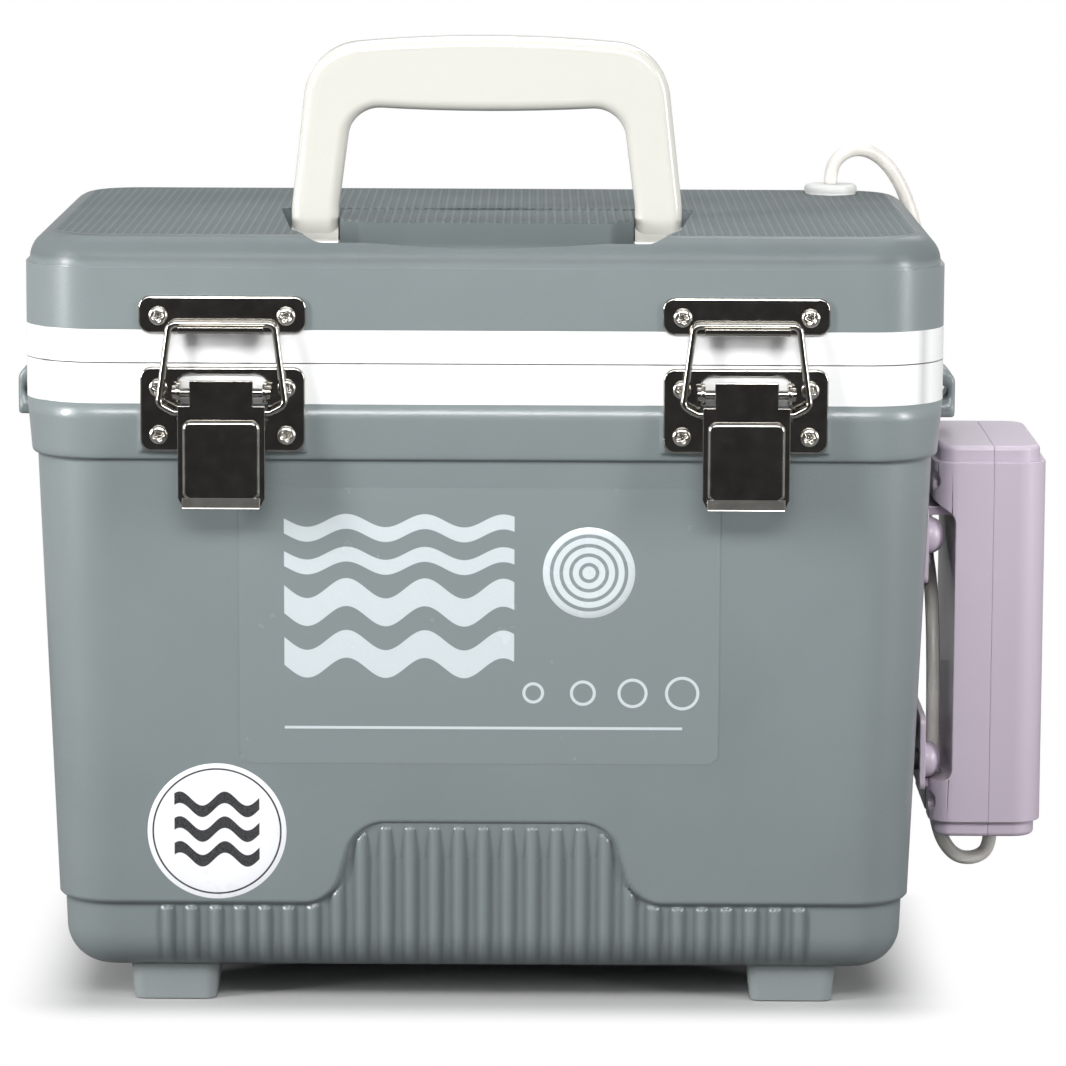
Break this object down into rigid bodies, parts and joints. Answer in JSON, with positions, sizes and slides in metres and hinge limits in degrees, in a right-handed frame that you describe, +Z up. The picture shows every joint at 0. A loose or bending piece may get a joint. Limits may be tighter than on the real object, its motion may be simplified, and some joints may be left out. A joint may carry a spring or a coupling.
{
  "type": "insulated live-bait box with air pump",
  "caption": "Insulated hard-sided live-bait box with ribbed tub, hinged lid, fold-down handle, draw latches and a battery air pump feeding an air stone through a hose.",
  "frame": {"origin": "on the floor, midway between the feet", "axes": "+X to the right, towards the pump; +Y to the hinges; +Z up; the latches face -Y"},
  "size_m": [0.3538, 0.2249, 0.3224],
  "materials": {
    "grey_skin": "fine satin texture, polypropylene",
    "foam": "closed-cell foam",
    "white_liner": "satin",
    "foot_plastic": "satin",
    "gasket_rubber": "matt",
    "handle_plastic": "satin",
    "pin_steel": "drawn",
    "latch_metal": "dark nickel plate",
    "bail_wire": "bright drawn wire",
    "hinge_metal": "dark nickel plate",
    "screw_steel": "bright zinc",
    "fitting_plastic": "satin",
    "hose": "smooth, milky",
    "stone": "coarse sintered grit",
    "pump_plastic": "satin",
    "switch_plastic": "satin",
    "contact_metal": "bright nickel",
    "cell_jacket": "printed film",
    "pump_works": "satin",
    "motor_can": "zinc"
  },
  "bodies": {
    "tub": {"outer_tub": "grey_skin", "tub_foam": "foam", "inner_liner": "white_liner", "foot_front_left": "foot_plastic", "foot_back_left": "foot_plastic", "foot_front_right": "foot_plastic", "foot_back_right": "foot_plastic", "latch_base_left": "latch_metal", "latch_pin_left": "pin_steel", "latch_base_right": "latch_metal", "latch_pin_right": "pin_steel", "latch_base_screws": "screw_steel", "hinge_tub_leaf_left": "hinge_metal", "hinge_pin_left": "pin_steel", "hinge_tub_leaf_right": "hinge_metal", "hinge_pin_right": "pin_steel", "hinge_tub_screws": "screw_steel", "air_hose": "hose", "inner_hose": "hose", "air_stone": "stone", "pump_back_shell": "pump_plastic", "pump_front_shell": "pump_plastic", "pump_case_screws": "screw_steel", "pump_standoffs": "gasket_rubber", "pump_screws": "pump_plastic", "battery_spring": "contact_metal", "battery_cells": "cell_jacket", "battery_top_contact": "contact_metal", "pump_head": "pump_works", "pump_diaphragm": "gasket_rubber", "pump_motor": "motor_can", "motor_saddles": "pump_plastic"},
    "lid": {"lid_shell": "grey_skin", "lid_foam": "foam", "lid_liner": "white_liner", "lid_gasket": "gasket_rubber", "latch_keeper_left": "latch_metal", "latch_keeper_right": "latch_metal", "keeper_screws": "screw_steel", "hinge_lid_leaf_left": "hinge_metal", "hinge_lid_leaf_right": "hinge_metal", "hinge_lid_screws": "screw_steel", "handle_pins": "pin_steel", "hose_fitting": "fitting_plastic", "fitting_washer": "gasket_rubber"},
    "handle": {"handle": "handle_plastic"},
    "lever_left": {"latch_lever_left": "latch_metal"},
    "lever_right": {"latch_lever_right": "latch_metal"},
    "bail_left": {"latch_bail_left": "bail_wire"},
    "bail_right": {"latch_bail_right": "bail_wire"},
    "battery_door": {"battery_door": "pump_plastic"},
    "pump_switch": {"pump_switch": "switch_plastic"},
    "motor_crank": {"motor_crank": "pump_works"}
  },
  "joints": [
    {"name": "lid_hinge", "type": "hinge", "parent": "tub", "child": "lid", "pos_m": [0, 0.1059, 0.219], "axis": [-1, 0, 0], "range_deg": [0, 95], "deforming": ["air_hose", "inner_hose"]},
    {"name": "handle_fold", "type": "hinge", "parent": "lid", "child": "handle", "pos_m": [0, -0.0245, 0.25], "axis": [1, 0, 0], "range_deg": [0, 93]},
    {"name": "latch_left_lever", "type": "hinge", "parent": "tub", "child": "lever_left", "pos_m": [-0.0859, -0.1087, 0.21], "axis": [-1, 0, 0], "range_deg": [0, 150]},
    {"name": "latch_left_bail", "type": "hinge", "parent": "lever_left", "child": "bail_left", "pos_m": [-0.0859, -0.1084, 0.2034], "axis": [-1, 0, 0], "range_deg": [-165, 0]},
    {"name": "latch_right_lever", "type": "hinge", "parent": "tub", "child": "lever_right", "pos_m": [0.0859, -0.1087, 0.21], "axis": [-1, 0, 0], "range_deg": [0, 150]},
    {"name": "latch_right_bail", "type": "hinge", "parent": "lever_right", "child": "bail_right", "pos_m": [0.0859, -0.1084, 0.2034], "axis": [-1, 0, 0], "range_deg": [-165, 0]},
    {"name": "battery_door_slide", "type": "slide", "parent": "tub", "child": "battery_door", "axis": [0, 0, 1], "range_m": [0, 0.11]},
    {"name": "pump_switch_slide", "type": "slide", "parent": "tub", "child": "pump_switch", "axis": [0, 0, 1], "range_m": [0, 0.005]},
    {"name": "crank_spin", "type": "hinge", "parent": "tub", "child": "motor_crank", "pos_m": [0.1756, -0.0225, 0.085], "axis": [0, 0, 1], "continuous": true}
  ],
  "couplings": [
    {"joint": "latch_left_bail", "follows": "latch_left_lever", "ratio": -1.1},
    {"joint": "latch_right_bail", "follows": "latch_right_lever", "ratio": -1.1}
  ]
}
